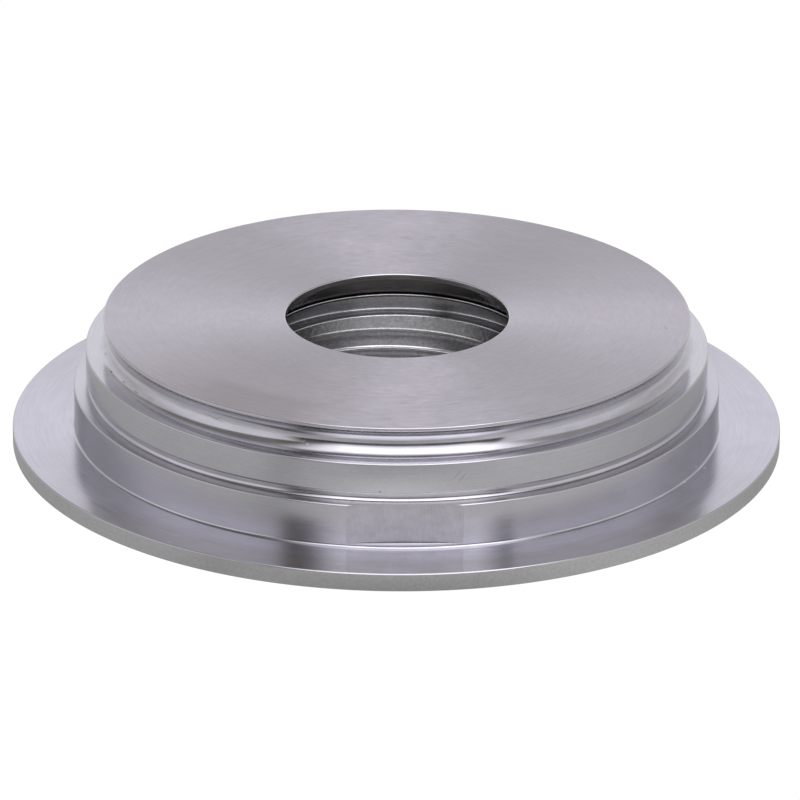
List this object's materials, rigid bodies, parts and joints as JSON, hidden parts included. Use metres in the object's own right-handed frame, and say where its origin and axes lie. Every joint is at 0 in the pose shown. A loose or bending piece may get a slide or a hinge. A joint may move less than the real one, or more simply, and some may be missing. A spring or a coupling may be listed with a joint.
{
  "type": "process adapter",
  "caption": "Turned stainless steel process adapter: flanged disc with a stepped spigot, seal groove and open threaded bore, for fitting a sensor flush into a hygienic housing.",
  "frame": {"origin": "centre of the flange's underside, on the axis of turning", "axes": "+Z along the axis of turning, from the flange's underside towards the process face; -Y towards the milled flat (the flat is turned 1.6 degrees from -Y towards +X)"},
  "size_m": [0.084, 0.084, 0.0144],
  "materials": {
    "turned_steel": "fine turned and faced stainless steel, concentric tool marks"
  },
  "bodies": {
    "root": {"adapter_body": "turned_steel"}
  },
  "joints": []
}
